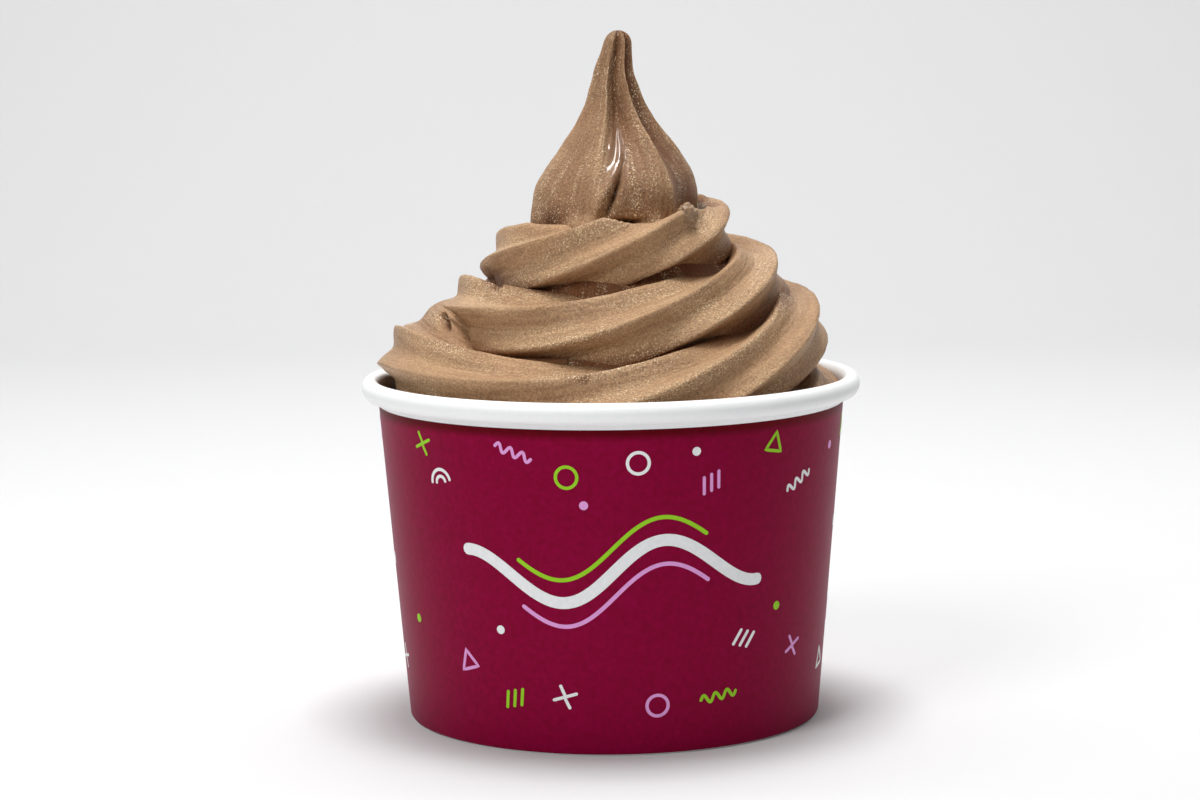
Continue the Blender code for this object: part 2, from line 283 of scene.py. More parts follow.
thick.thickness = PAPER
thick.offset = 0
thick.use_even_offset = True
bpy.ops.object.modifier_apply(modifier="board")
bpy.ops.object.shade_smooth_by_angle(angle=radians(50))

print_ink, ink_finish = active_material(cup, "printed_board", 0.42)
ink_grain = object_noise(print_ink, scale=700, detail=6, roughness=0.65)
ink_tones = ramp(print_ink, ink_grain.outputs["Fac"],
                 [(0.30, PRINT_TONES[0]), (0.70, PRINT_TONES[1])])
ink_place = print_ink.node_tree.nodes.new("ShaderNodeTexCoord")
ink_axes = print_ink.node_tree.nodes.new("ShaderNodeSeparateXYZ")
print_ink.node_tree.links.new(ink_place.outputs["Object"], ink_axes.inputs["Vector"])
# Painted shadow of the rim's roll: the ink gets darker towards the top of the wall.
rim_shadow_mask = print_ink.node_tree.nodes.new("ShaderNodeMapRange")
rim_shadow_mask.inputs["From Min"].default_value = RIM_PAINTED_SHADOW_FROM_Z
rim_shadow_mask.inputs["From Max"].default_value = RIM_PAINTED_SHADOW_TO_Z
print_ink.node_tree.links.new(ink_axes.outputs["Z"], rim_shadow_mask.inputs["Value"])
rim_painted_shadow = ramp(print_ink, rim_shadow_mask.outputs["Result"], [(0, (1, 1, 1)), (1, RIM_PAINTED_SHADOW)])
ink_with_painted_shadow = multiplied(print_ink, ink_tones.outputs["Color"], rim_painted_shadow.outputs["Color"])
print_ink.node_tree.links.new(ink_with_painted_shadow, ink_finish.inputs["Base Color"])
ink_fibres = object_noise(print_ink, scale=1600, detail=3)
bumped(print_ink, ink_finish, ink_fibres.outputs["Fac"], distance=0.00006, strength=0.5)
ink_finish.inputs["Specular IOR Level"].default_value = 0.05
ink_finish.inputs["Sheen Weight"].default_value = 0.045
ink_finish.inputs["Sheen Roughness"].default_value = 0.35
ink_finish.inputs["Sheen Tint"].default_value = PRINT_SHEEN

bare_board, board_finish = active_material(cup, "white_board", 0.5)
board_grain = object_noise(bare_board, scale=900, detail=4)
board_tones = ramp(bare_board, board_grain.outputs["Fac"],
                   [(0.3, BOARD_TONES[0]), (0.7, BOARD_TONES[1])])
bare_board.node_tree.links.new(board_tones.outputs["Color"], board_finish.inputs["Base Color"])
bumped(bare_board, board_finish, board_grain.outputs["Fac"], distance=0.00005, strength=0.4)

for face in cup.data.polygons:
    middle = face.center
    outwards = Vector((middle.x, middle.y, 0)).normalized().dot(face.normal)
    on_print = (middle.z < PRINT_TO_Z and outwards > PRINT_FACING
                and hypot(middle.x, middle.y) > wall_inside(middle.z) + PAPER / 2)
    face.material_index = 0 if on_print else 1
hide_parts("cup_wall")
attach(cup, "root")


# Cup bottom: a disc of white paperboard with its edge turned down. It is pushed up into the wall
# and glued inside the hem, so the cup stands on its foot ring. The solid's shape is right.
cup_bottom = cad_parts["cup_bottom"]
cup_bottom.data.materials.clear()
cup_bottom.data.materials.append(bare_board)


# Print: a scatter of small line drawings and three long ribbons, in white, pink and lime inks on
# the maroon ground. The inks are flat films on the board, modelled as thin bodies just proud of it.
INK_LIFT = 0.00005
INK_DEPTH = 0.00007
INK_MOTTLE = 0.92
INK_COLOURS = {"white": (0.90, 0.91, 0.92), "pink": (0.80, 0.36, 0.74),
               "lime": (0.33, 0.66, 0.016)}
CAP_STEPS = 6
PEN_WIDTH = 0.0007
RING_RADIUS = 0.0023
DOT_RADIUS = 0.0005
DOT_PEN_WIDTH = 0.00098
ARCH_RADII = (0.0014, 0.0029)
SQUIGGLE_LENGTH = 0.0086
SQUIGGLE_SWAY = 0.0009
SQUIGGLE_WAVES = 3
SQUIGGLE_STEPS = 36
WEDGE_TIP = 0.0027
RIBBON_Z = 0.0405
RIBBON_TILT = radians(4)
RIBBON_HALF_LENGTH = 0.033
RIBBON_SWAY = 0.0060
RIBBON_WAVES = 1.5
RIBBON_STEPS = 96
RIBBON_COUNT = 3
# Each ribbon: its pen's width, how far up it lies, and its share of the white one's length.
RIBBONS = {"white": (0.0026, 0.0, 1), "pink": (0.0009, -0.0052, 0.62),
           "lime": (0.0009, 0.0050, 0.62)}


def on_wall(azimuth, height, across, up, lift):
    """A point on the printed wall, beside and above a place on it, lifted off the board."""
    level = height + up * cos(WALL_LEAN)
    radius = wall_outside(level)
    turn = azimuth + across / wall_outside(height)
    past_lap = (turn - LAP_AZIMUTH) % (2 * pi)
    if past_lap < LAP_WIDTH:
        lift += LAP_STEP * (1 - past_lap / LAP_WIDTH)
    return Vector(((radius + lift) * cos(turn), (radius + lift) * sin(turn), level))


def pen_sides(points, width, closed):
    """The left and right sides of a pen line along some points of the flat print."""
    left = []
    right = []
    for place, point in enumerate(points):
        before, after = max(place - 1, 0), min(place + 1, len(points) - 1)
        if closed:
            before, after = place - 1, (place + 1) % len(points)
        along = (points[after] - points[before]).normalized()
        side = Vector((-along.y, along.x)) * width / 2
        left.append(point + side)
        right.append(point - side)
    return left, right


def pen_cap(end, side):
    """The points of a pen line's round end, between its two sides."""
    cap = []
    for step in range(1, CAP_STEPS):
        turn = -pi * step / CAP_STEPS
        cap.append(end + Vector((side.x * cos(turn) - side.y * sin(turn),
                                 side.x * sin(turn) + side.y * cos(turn))))
    return cap


def lay_film(body, outline, azimuth, height, tilt):
    """The points of a drawing's outline laid on the wall, on top of the film and under it."""
    layers = []
    for lift in (INK_LIFT, INK_LIFT - INK_DEPTH):
        layer = []
        for point in outline:
            across = point.x * cos(tilt) - point.y * sin(tilt)
            up = point.x * sin(tilt) + point.y * cos(tilt)
            layer.append(body.verts.new(on_wall(azimuth, height, across, up, lift)))
        layers.append(layer)
    return layers


def add_line(body, points, width, azimuth, height, tilt=0, closed=False):
    """A pen line on the wall: a strip of even width, with round ends or joined up."""
    count = len(points)
    left, right = pen_sides(points, width, closed)
    if closed:
        top, under = lay_film(body, left + right, azimuth, height, tilt)
        for place in range(count):
            after = (place + 1) % count
            a, b, c, d = place, after, count + after, count + place
            body.faces.new((top[a], top[d], top[c], top[b]))
            body.faces.new((under[a], under[b], under[c], under[d]))
            body.faces.new((top[a], top[b], under[b], under[a]))
            body.faces.new((top[d], under[d], under[c], top[c]))
        return
    far_cap = pen_cap(points[-1], left[-1] - points[-1])
    near_cap = pen_cap(points[0], right[0] - points[0])
    loop = left + far_cap + right[::-1] + near_cap
    top, under = lay_film(body, loop, azimuth, height, tilt)
    total = len(loop)
    for place in range(count - 1):
        across_from = count + len(far_cap) + (count - 1 - place)
        body.faces.new((top[place], top[across_from], top[across_from - 1], top[place + 1]))
        body.faces.new((under[place], under[place + 1], under[across_from - 1],
                        under[across_from]))
    far = list(range(count - 1, count + len(far_cap) + 1))
    near = list(range(total - len(near_cap) - 1, total)) + [0]
    for band in (far, near):
        body.faces.new([top[i] for i in reversed(band)])
        body.faces.new([under[i] for i in band])
    for place in range(total):
        after = (place + 1) % total
        body.faces.new((top[place], top[after], under[after], under[place]))


def arc(radius, start, end, steps):
    """Points on an arc round the motif's middle, between two angles in degrees."""
    points = []
    for step in range(steps + 1):
        turn = radians(start + (end - start) * step / steps)
        points.append(Vector((radius * cos(turn), radius * sin(turn))))
    return points


def straight(x0, y0, x1, y1, steps=6):
    """Points along a straight stroke of a motif, in millimetres."""
    return [Vector((x0 + (x1 - x0) * step / steps, y0 + (y1 - y0) * step / steps)) / 1000
            for step in range(steps + 1)]


def add_motif(body, kind, azimuth, height, tilt):
    """One small drawing, 5 to 9 mm across, or a dot."""
    spot = (azimuth, height, tilt)
    if kind == "ring":
        add_line(body, arc(RING_RADIUS, 0, 350, 35), PEN_WIDTH, *spot, closed=True)
    elif kind == "dot":
        add_line(body, arc(DOT_RADIUS, 0, 324, 9), DOT_PEN_WIDTH, *spot, closed=True)
    elif kind == "plus":
        add_line(body, straight(-2.5, 0.2, 2.6, -0.1), PEN_WIDTH, *spot)
        add_line(body, straight(0.1, 0.5, 0.0, 2.6, 3), PEN_WIDTH, *spot)
        add_line(body, straight(-0.1, -0.5, 0.1, -2.5, 3), PEN_WIDTH, *spot)
    elif kind == "arches":
        for radius in ARCH_RADII:
            add_line(body, arc(radius, 8, 172, 18), PEN_WIDTH, *spot)
    elif kind == "squiggle":
        wave = []
        for step in range(SQUIGGLE_STEPS + 1):
            share = step / SQUIGGLE_STEPS
            wave.append(Vector((SQUIGGLE_LENGTH * (share - 0.5),
                                SQUIGGLE_SWAY * sin(share * 2 * SQUIGGLE_WAVES * pi))))
        add_line(body, wave, PEN_WIDTH, *spot)
    elif kind == "wedge":
        sides = (straight(0, 2.6, -2.3, -1.6)[1:] + straight(-2.3, -1.6, 2.4, -1.4)[1:]
                 + straight(2.4, -1.4, 0, 2.6)[1:-1])
        add_line(body, [Vector((0, WEDGE_TIP))] + sides, PEN_WIDTH, *spot, closed=True)
    elif kind == "dashes":
        for offset in (-1.8, 0, 1.8):
            add_line(body, straight(offset - 0.5, -1.6, offset + 0.6, 1.7), PEN_WIDTH, *spot)


# Each drawing: its kind, direction in degrees, height in millimetres and tilt in degrees.
MOTIFS = {
    "white": [("arches", -136, 58, 10), ("plus", -103, 13, 20), ("ring", -84, 64, 0),
              ("dashes", -55, 24, -15), ("squiggle", -38, 57, 25), ("dot", -120, 27, 0),
              ("wedge", -16, 14, 8), ("ring", 8, 60, 0), ("plus", 27, 17, 40),
              ("arches", 49, 58, 0), ("dashes", 78, 12, 10), ("squiggle", 118, 61, -12),
              ("ring", 139, 20, 0), ("wedge", 163, 59, 12), ("plus", -168, 15, 15),
              ("dot", -70, 66, 0), ("dot", 64, 27, 0), ("dot", 178, 30, 0)],
    "pink": [("squiggle", -114, 66, -18), ("wedge", -131, 19, 14), ("dashes", -66, 59, 20),
             ("ring", -79, 11, 0), ("plus", -36, 20, 30), ("dot", -97, 55, 0),
             ("arches", -3, 23, 40), ("dot", -22, 63, 0), ("ring", 31, 66, 0),
             ("dashes", 55, 14, -20), ("wedge", 73, 62, -10), ("plus", 98, 55, 12),
             ("squiggle", 150, 10, 20), ("arches", 142, 64, 0), ("ring", -176, 66, 0),
             ("dot", 112, 25, 0)],
    "lime": [("ring", -101, 61, 0), ("dashes", -117, 12, 12), ("wedge", -48, 66, -12),
             ("squiggle", -62, 12, 8), ("plus", -142, 66, 25), ("dot", -44, 30, 0),
             ("plus", 14, 12, 10), ("wedge", -8, 66, 15), ("arches", 86, 22, 0),
             ("ring", 62, 64, 0), ("dashes", 128, 14, -8), ("squiggle", 171, 15, -15),
             ("plus", 155, 65, 0), ("dot", -152, 26, 0)],
}
for ink, colour in INK_COLOURS.items():
    film = bmesh.new()
    for kind, azimuth, height, tilt in MOTIFS[ink]:
        add_motif(film, kind, radians(azimuth), height / 1000, radians(tilt))
    pen, offset, length_share = RIBBONS[ink]
    for panel in range(RIBBON_COUNT):
        line = []
        for step in range(RIBBON_STEPS + 1):
            share = step / RIBBON_STEPS * 2 - 1
            reach = RIBBON_HALF_LENGTH * length_share
            sway = RIBBON_SWAY * sin(share * reach / RIBBON_HALF_LENGTH * RIBBON_WAVES * pi)
            line.append(Vector((share * reach, sway + offset)))
        azimuth = radians(-90 + 360 / RIBBON_COUNT * panel)
        add_line(film, line, pen, azimuth, RIBBON_Z, RIBBON_TILT)
    bmesh.ops.recalc_face_normals(film, faces=film.faces)
    mesh = bpy.data.meshes.new("ink_" + ink)
    film.to_mesh(mesh)
    film.free()
    drawing = bpy.data.objects.new("ink_" + ink, mesh)
    bpy.context.scene.collection.objects.link(drawing)
    film_material, film_finish = active_material(drawing, "ink_film_" + ink, 0.5)
    film_grain = object_noise(film_material, scale=900, detail=4)
    film_tones = ramp(film_material, film_grain.outputs["Fac"],
                      [(0.3, tuple(part * INK_MOTTLE for part in colour)), (0.7, colour)])
    film_material.node_tree.links.new(film_tones.outputs["Color"],
                                      film_finish.inputs["Base Color"])
    film_finish.inputs["Specular IOR Level"].default_value = 0.2
    bumped(film_material, film_finish, film_grain.outputs["Fac"], distance=0.00004,
           strength=0.4)
    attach(drawing, "root")


# Swirl: soft-serve yogurt out of a nozzle with six teeth. It is laid as a star-shaped rope that
# rises out of the filling for a quarter turn, and then goes round anticlockwise in three and a
# quarter shrinking turns, while its ridges turn a little more than once with each of them.
RIDGES = 6
ROPE_RADIUS = 0.0098
ROPE_TALLNESS = 0.98
FLUTE_DEPTH = 0.30
RIDGE_ROUNDING = 0.04
POINTS_PER_RIDGE = 16
STEPS_PER_TURN = 220
START_TURN = -0.25
START_SINK = 0.5
END_TURN = 3.25
HALF_TURN_RADII = (0.0450, 0.0428, 0.0393, 0.0289, 0.0307, 0.0193, 0.0186, 0.0050)
HALF_TURN_HEIGHTS = (0.0690, 0.0806, 0.0876, 0.0909, 0.0971, 0.1015, 0.1088, 0.1060)
FRONT_SAG = 0.01375
SAG_LOSS_PER_TURN = 0.005
SAG_SHARPNESS = 1.5
RIDGE_LEAD = radians(24)
RIDGE_TWIST = radians(388)
TWIST_SLOWING = radians(-8)
LEAD_BY_SIDE = (radians(-8), radians(-5))
LEAD_BY_QUARTER = (radians(11), radians(-7))
ROPE_LUMPS = ((260, 0.00016), (700, 0.00007))
RIDGE_UNEVENNESS = 0.00022
FLUTE_UNEVENNESS = 0.12
MEAN_TURN_RADIUS = 0.030
ROPE_POINT_GAP = 0.0005
CLEARANCE = 0.0003
# Painted shade: the rope's colour is darkened in the crevices between its turns and on its lowest
# part, by these shares.
POCKET_SHADE = 0.7
POCKET_REACH = 1.24
POCKET_FADE = 0.34
LOW_SHADE = 0.25
LOW_SHADE_Z = 0.0785
LOW_SHADE_FADE = 0.005
PEAK_FOOT_Z = 0.1116
PEAK_FOOT_RADIUS = 0.0180
PEAK_FOOT_FRONT = 0.0045
PEAK_FOOT_DIRECTION = radians(285)
PEAK_FOOT_SLOPE = 1.6
PRESSED_SHARE = 0.1
HOLLOW_SHADE_MARGIN = 1.1
YOGURT_TONES = ((0.452, 0.271, 0.139), (0.553, 0.342, 0.184))
GRAIN_TONES = ((0.71, 0.66, 0.62), (1.22, 1.24, 1.26))
FLOW_TONES = ((0.84, 0.79, 0.76), (1.09, 1.09, 1.09))
# Painted shade colours, multiplied into the yogurt's colour, from no shade to the darkest crevice.
PAINTED_SHADE_TONES = ((1, 1, 1), (0.42, 0.275, 0.185), (0.05, 0.024, 0.015))
# Pale ice specks: partly the frozen yogurt's own ice crystals, partly painted glints of its
# sparkle.
ICE_AND_GLINT_COLOUR = (0.96, 0.77, 0.50, 1)
# The holes are dented in and also darkened with painted shade; the third is barely dented and is
# mostly painted shade.
# Each small hollow: the ends of its middle line, its radius, its depth and its painted shade.
HOLLOWS = (((-0.0379, -0.0133, 0.0925), (-0.0365, -0.0190, 0.0899), 0.0012, 0.0045, 1.0),
           ((-0.0250, -0.0150, 0.0998), (-0.0243, -0.0160, 0.0984), 0.0011, 0.0025, 1.0),
           ((-0.0268, -0.0125, 0.1012), (-0.0258, -0.0145, 0.1006), 0.0030, 0.0003, 0.6),
           ((0.0206, 0.0066, 0.1158), (0.0224, -0.0008, 0.1149), 0.0022, 0.0018, 0.92),
           ((-0.0185, -0.0429, 0.0812), (-0.0057, -0.0460, 0.0814), 0.0012, 0.0009, 0.95))


def smooth_between(values, place):
    """A curve through evenly spaced values (Catmull-Rom), read at a place along them."""
    last = len(values) - 1
    step = min(max(int(place), 0), last - 1)
    blend = place - step
    before = values[max(step - 1, 0)]
    after = values[min(step + 2, last)]
    start = values[step]
    end = values[step + 1]
    return 0.5 * (2 * start + (end - before) * blend
                  + (2 * before - 5 * start + 4 * end - after) * blend ** 2
                  + (3 * start - before - 3 * end + after) * blend ** 3)


def star(angle, ridges, depth, rounding):
    """Distance of a star's outline from its middle, as a share of the distance to its tips."""
    wave = sqrt(sin(ridges * angle / 2) ** 2 + rounding ** 2)
    return 1 - depth * (wave - rounding)


def rope_middle(turn):
    """Radius and height of the rope's middle, a number of turns from its first half turn."""
    if turn < 0:
        return HALF_TURN_RADII[0], HALF_TURN_HEIGHTS[0] - START_SINK * turn ** 2
    radius = smooth_between(HALF_TURN_RADII, 2 * turn)
    height = smooth_between(HALF_TURN_HEIGHTS, 2 * turn)
    sag = max(FRONT_SAG - SAG_LOSS_PER_TURN * turn, 0)
    return radius, height - sag * max(-sin(2 * pi * turn), 0) ** SAG_SHARPNESS


def inside_cup(point):
    """The point, drawn in where it would touch the cup's wall or the roll of its rim."""
    reach = hypot(point.x, point.y)
    half_width = rim_half_width + PAPER / 2 + CLEARANCE
    half_depth = RIM_HALF_DEPTH + CLEARANCE
    limit = reach
    if point.z < RIM_MIDDLE_Z:
        limit = wall_inside(point.z) - CLEARANCE
    elif point.z < RIM_MIDDLE_Z + half_depth:
        rise = (point.z - RIM_MIDDLE_Z) / half_depth
        limit = rim_inner + rim_half_width - half_width * sqrt(1 - rise ** 2)
    if reach > limit:
        return Vector((point.x * limit / reach, point.y * limit / reach, point.z))
    return point


def under_peak(point):
    """The point, pressed down where the peak's foot stands on the last turn."""
    azimuth = atan2(point.y, point.x) % (2 * pi)
    front = 0.5 + 0.5 * cos(azimuth - PEAK_FOOT_DIRECTION)
    foot = PEAK_FOOT_RADIUS + PEAK_FOOT_FRONT * front ** 2
    ceiling = PEAK_FOOT_Z + PEAK_FOOT_SLOPE * max(hypot(point.x, point.y) - foot, 0)
    excess = point.z - ceiling
    if excess > 0:
        return Vector((point.x, point.y, ceiling + PRESSED_SHARE * excess))
    return point


def lumps(point, sizes):
    """The unevenness at a point: the sum of some noises, each with its waves for each metre and
    its height."""
    return sum(noise.noise(point * waves) * height for waves, height in sizes)


def in_hollow(point, hollow, margin):
    """How far inside a small hole a point is, from 0 to 1. A hole is long, round a short line."""
    start = Vector(hollow[0])
    line = Vector(hollow[1]) - start
    along = min(max((point - start).dot(line) / line.length_squared, 0), 1)
    near = (point - start - line * along).length / (hollow[2] * margin)
    return exp(-near ** 4)


def dented(point, middle):
    """The point, pushed in towards the rope's middle where a small hole is left open."""
    push = sum(hollow[3] * in_hollow(point, hollow, 1) for hollow in HOLLOWS)
    return point - (point - middle).normalized() * push


def painted_hollow_shade(undented):
    """The painted shade that a small hole puts on a point, by where it was before the dent."""
    return max(hollow[4] * in_hollow(undented, hollow, HOLLOW_SHADE_MARGIN)
               for hollow in HOLLOWS)


def painted_rope_shade(point, turn):
    """How much painted shade a point of the rope gets: the deeper it lies in the crevice beside the
    turn below or above, the darker, and darker again low down.
    """
    around = 2 * pi * turn
    share = 0
    for beside in (turn - 1, turn + 1):
        if START_TURN <= beside <= END_TURN:
            radius, height = rope_middle(beside)
            middle = Vector((radius * cos(around), radius * sin(around), height))
            reach = (point - middle).length / ROPE_RADIUS
            near = min(max((POCKET_REACH - reach) / POCKET_FADE, 0), 1)
            share = max(share, POCKET_SHADE * near)
    low = min(max((LOW_SHADE_Z - point.z) / LOW_SHADE_FADE, 0), 1)
    return max(share, LOW_SHADE * low)


def rope_section(turn, count):
    """The points round the rope, a number of turns from its start, with their painted shade."""
    around = 2 * pi * turn
    radius, height = rope_middle(turn)
    lead = (RIDGE_LEAD + RIDGE_TWIST * turn + TWIST_SLOWING * turn ** 2
            + LEAD_BY_SIDE[0] * cos(around) + LEAD_BY_SIDE[1] * sin(around)
            + LEAD_BY_QUARTER[0] * cos(2 * around) + LEAD_BY_QUARTER[1] * sin(2 * around))
    points = []
    shades = []
    for place in range(count):
        angle = 2 * pi * place / count
        ridge = round(angle * RIDGES / (2 * pi)) % RIDGES
        uneven = noise.noise(Vector((turn * 9, ridge * 3.7, 1.5)))
        swell = noise.noise(Vector((turn * 5, angle, 4.0)))
        depth = FLUTE_DEPTH * (1 + FLUTE_UNEVENNESS * swell)
        reach = ROPE_RADIUS * star(angle, RIDGES, depth, RIDGE_ROUNDING)
        reach += RIDGE_UNEVENNESS * uneven
        out = radius + reach * cos(angle + lead)
        up = height + ROPE_TALLNESS * reach * sin(angle + lead)
        point = Vector((out * cos(around), out * sin(around), up))
        middle = Vector((radius * cos(around), radius * sin(around), height))
        point += (point - middle).normalized() * lumps(point, ROPE_LUMPS)
        point = under_peak(point)
        shades.append(max(painted_rope_shade(point, turn), painted_hollow_shade(point)))
        points.append(inside_cup(dented(point, middle)))
    return points, shades


def lofted(name, sections, along, around, painted_shades, wets=None):
    """A closed body through rings of points, with a UV map in metres along and around it and
    attributes for the painted shade of each point, darker in crevices, and for how wet it is."""
    body = bmesh.new()
    uv = body.loops.layers.uv.new("UVMap")
    for attribute in ("painted_shade", "wet"):
        body.verts.layers.float.new(attribute)
    rings = [[body.verts.new(point) for point in section] for section in sections]
    for attribute, values in (("painted_shade", painted_shades), ("wet", wets)):
        layer = body.verts.layers.float[attribute]
        for ring, shares in zip(rings, values or []):
            for vert, share in zip(ring, shares):
                vert[layer] = share
    count = len(rings[0])
    for step in range(len(rings) - 1):
        for place in range(count):
            after = (place + 1) % count
            face = body.faces.new((rings[step][place], rings[step][after],
                                   rings[step + 1][after], rings[step + 1][place]))
            corners = ((step, place), (step, place + 1),
                       (step + 1, place + 1), (step + 1, place))
            for loop, (row, column) in zip(face.loops, corners):
                loop[uv].uv = (row * along, column * around)
    for ring in (rings[0], rings[-1]):
        middle = body.verts.new(sum((vert.co for vert in ring), Vector()) / count)
        for place in range(count):
            body.faces.new((ring[place], ring[(place + 1) % count], middle))
    bmesh.ops.recalc_face_normals(body, faces=body.faces)
    mesh = bpy.data.meshes.new(name)
    body.to_mesh(mesh)
    body.free()
    mesh.shade_smooth()
    piece = bpy.data.objects.new(name, mesh)
    bpy.context.scene.collection.objects.link(piece)
    return piece


def flow_noise(material, stretch, detail):
    """A noise texture drawn out along the flow of the yogurt: it reads the UV map, with waves for
    each metre along and around the rope."""
    tree = material.node_tree
    place = tree.nodes.new("ShaderNodeUVMap")
    place.uv_map = "UVMap"
    drawn_out = tree.nodes.new("ShaderNodeMapping")
    drawn_out.inputs["Scale"].default_value = (*stretch, 1)
    waves = tree.nodes.new("ShaderNodeTexNoise")
    waves.inputs["Scale"].default_value = 1
    waves.inputs["Detail"].default_value = detail
    tree.links.new(place.outputs["UV"], drawn_out.inputs["Vector"])
    tree.links.new(drawn_out.outputs["Vector"], waves.inputs["Vector"])
    return waves


def attribute_value(material, name):
    """The value of a mesh attribute at each point."""
    reader = material.node_tree.nodes.new("ShaderNodeAttribute")
    reader.attribute_name = name
    return reader.outputs["Fac"]


rope_sections = []
rope_painted_shades = []
for step in range(round((END_TURN - START_TURN) * STEPS_PER_TURN) + 1):
    turn = START_TURN + step / STEPS_PER_TURN
    points, shades = rope_section(turn, RIDGES * POINTS_PER_RIDGE)
    rope_sections.append(points)
    rope_painted_shades.append(shades)
coil = lofted("yogurt_coil", rope_sections, 2 * pi * MEAN_TURN_RADIUS / STEPS_PER_TURN,
              ROPE_POINT_GAP, rope_painted_shades)
yogurt, yogurt_finish = active_material(coil, "cocoa_yogurt", 0.4)
links = yogurt.node_tree.links
cream = object_noise(yogurt, scale=60, detail=5)
cream_tones = ramp(yogurt, cream.outputs["Fac"], [(0.30, YOGURT_TONES[0]), (0.70, YOGURT_TONES[1])])
grain = object_noise(yogurt, scale=2000, detail=2, roughness=0.75)
grain_tones = ramp(yogurt, grain.outputs["Fac"], [(0.34, GRAIN_TONES[0]), (0.66, GRAIN_TONES[1])])
flow = flow_noise(yogurt, stretch=(90, 1000), detail=4)
flow_tones = ramp(yogurt, flow.outputs["Fac"], [(0.32, FLOW_TONES[0]), (0.68, FLOW_TONES[1])])
# Painted shade, read from the mesh attribute: darkest in crevices and hollows.
painted_shade_tones = ramp(yogurt, attribute_value(yogurt, "painted_shade"),
                    [(0.0, PAINTED_SHADE_TONES[0]), (0.7, PAINTED_SHADE_TONES[1]), (1.0, PAINTED_SHADE_TONES[2])])
tone = cream_tones.outputs["Color"]
for layer in (grain_tones, flow_tones, painted_shade_tones):
    tone = multiplied(yogurt, tone, layer.outputs["Color"])
# Ice specks in drifts: pale ice crystals of the frozen yogurt, which also stand in as painted
# glints of light on the frost.
ice_and_glint_grain = object_noise(yogurt, scale=3000, detail=1, roughness=0.6)
ice_and_glint_spots = ramp(yogurt, ice_and_glint_grain.outputs["Fac"], [(0.55, (0, 0, 0)), (0.68, (1, 1, 1))])
drifts = flow_noise(yogurt, stretch=(45, 190), detail=3)
drift_share = ramp(yogurt, drifts.outputs["Fac"], [(0.44, (0, 0, 0)), (0.62, (1, 1, 1))])
ice_and_glint_mix = yogurt.node_tree.nodes.new("ShaderNodeMixRGB")
ice_and_glint_mix.inputs["Color2"].default_value = ICE_AND_GLINT_COLOUR
links.new(multiplied(yogurt, ice_and_glint_spots.outputs["Color"], drift_share.outputs["Color"]),
          ice_and_glint_mix.inputs["Fac"])
links.new(tone, ice_and_glint_mix.inputs["Color1"])
links.new(ice_and_glint_mix.outputs["Color"], yogurt_finish.inputs["Base Color"])
links.new(attribute_value(yogurt, "wet"), yogurt_finish.inputs["Coat Weight"])
yogurt_finish.inputs["Coat Roughness"].default_value = 0.12
yogurt_finish.inputs["Coat IOR"].default_value = 1.6
yogurt_finish.inputs["Specular IOR Level"].default_value = 0.35
yogurt_finish.inputs["Subsurface Weight"].default_value = 0.10
yogurt_finish.inputs["Subsurface Radius"].default_value = (1.0, 0.55, 0.35)
yogurt_finish.inputs["Subsurface Scale"].default_value = 0.0010
frost = object_noise(yogurt, scale=1500, detail=3, roughness=0.75)
frost_relief = bumped(yogurt, yogurt_finish, frost.outputs["Fac"], distance=0.0006)
bumped(yogurt, yogurt_finish, flow.outputs["Fac"], distance=0.00025, under=frost_relief)
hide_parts("froyo_swirl")
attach(coil, "root")


# Peak: where the cup was pulled down and the rope broke off. It is drawn up into a point that
# keeps the nozzle's ridges, upright, and leans a little to the right. Low on the front it has a
# wet nose with a crease beside it.
PEAK_SIDES = 288
PEAK_STEPS = 190
PEAK_TIP_Z = 0.1538
PEAK_TIP_ROUND = 0.0030
PEAK_TIP_FLAT = 0.00008
PEAK_BASE_Z = 0.1120
PEAK_UNDERSIDE_Z = 0.1060
PEAK_UNDERSIDE_ROUNDING = 0.75
PEAK_RING_CROWDING = 1.3
PEAK_VALUE_STEP = 0.008
PEAK_RADII = (0.0190, 0.0181, 0.0131, 0.0076, 0.0047, 0.0031)
PEAK_LEANS = (0.0009, 0.0016, 0.0021, 0.0017, 0.0014, 0.0024)
PEAK_RIDGES_AT_FOOT = (259, 315, 368, 430, 492, 556)
PEAK_RIDGES_AT_TIP = (251, 301, 353, 412, 475, 549)
FLUTES_AT_FOOT = (0.05, 0.14, 0.12, 0.10, 0.10, 0.05)
FLUTES_AT_TIP = (0.54, 0.54, 0.30, 0.30, 0.30, 0.10)
FLUTE_SKEWS = (0.62, 0.80, 1.0, 1.0, 1.0, 1.0)
FLUTE_CHANGE_FROM = 0.22
FLUTE_CHANGE = 0.40
FLUTE_ROUNDING = 0.06
PEAK_LUMPS = ((230, 0.00022), (700, 0.00007))
PEAK_LEAST_REACH = 0.001
PEAK_POINT_GAPS = (0.0004, 0.0005)
# Painted shade on the peak: each flute is darkened by these shares, more at the tip and on the
# right.
FLUTE_SHADES_AT_FOOT = (0.46, 0.64, 0.56, 0.32, 0.32, 0.36)
FLUTE_SHADES_AT_TIP = (0.61, 0.84, 0.78, 0.45, 0.45, 0.36)
SHADE_SPREAD = 0.4
CREASE_FOOT = radians(267)
CREASE_FOOT_Z = 0.1163
CREASE_LEAN = radians(7) / 0.0069
CREASE_MIDDLE_Z = 0.1185
CREASE_HALF_HEIGHT = 0.0052
CREASE_HALF_WIDTH = radians(2.2)
CREASE_DEPTH = 0.0022
# Painted shade in the crease beside the nose.
CREASE_SHADE = 0.9
CREASE_SHADE_WIDTH = radians(2.6)
NOSE_REACH = 0.0017
NOSE_BESIDE_CREASE = radians(6.5)
NOSE_HALF_WIDTH = radians(4)
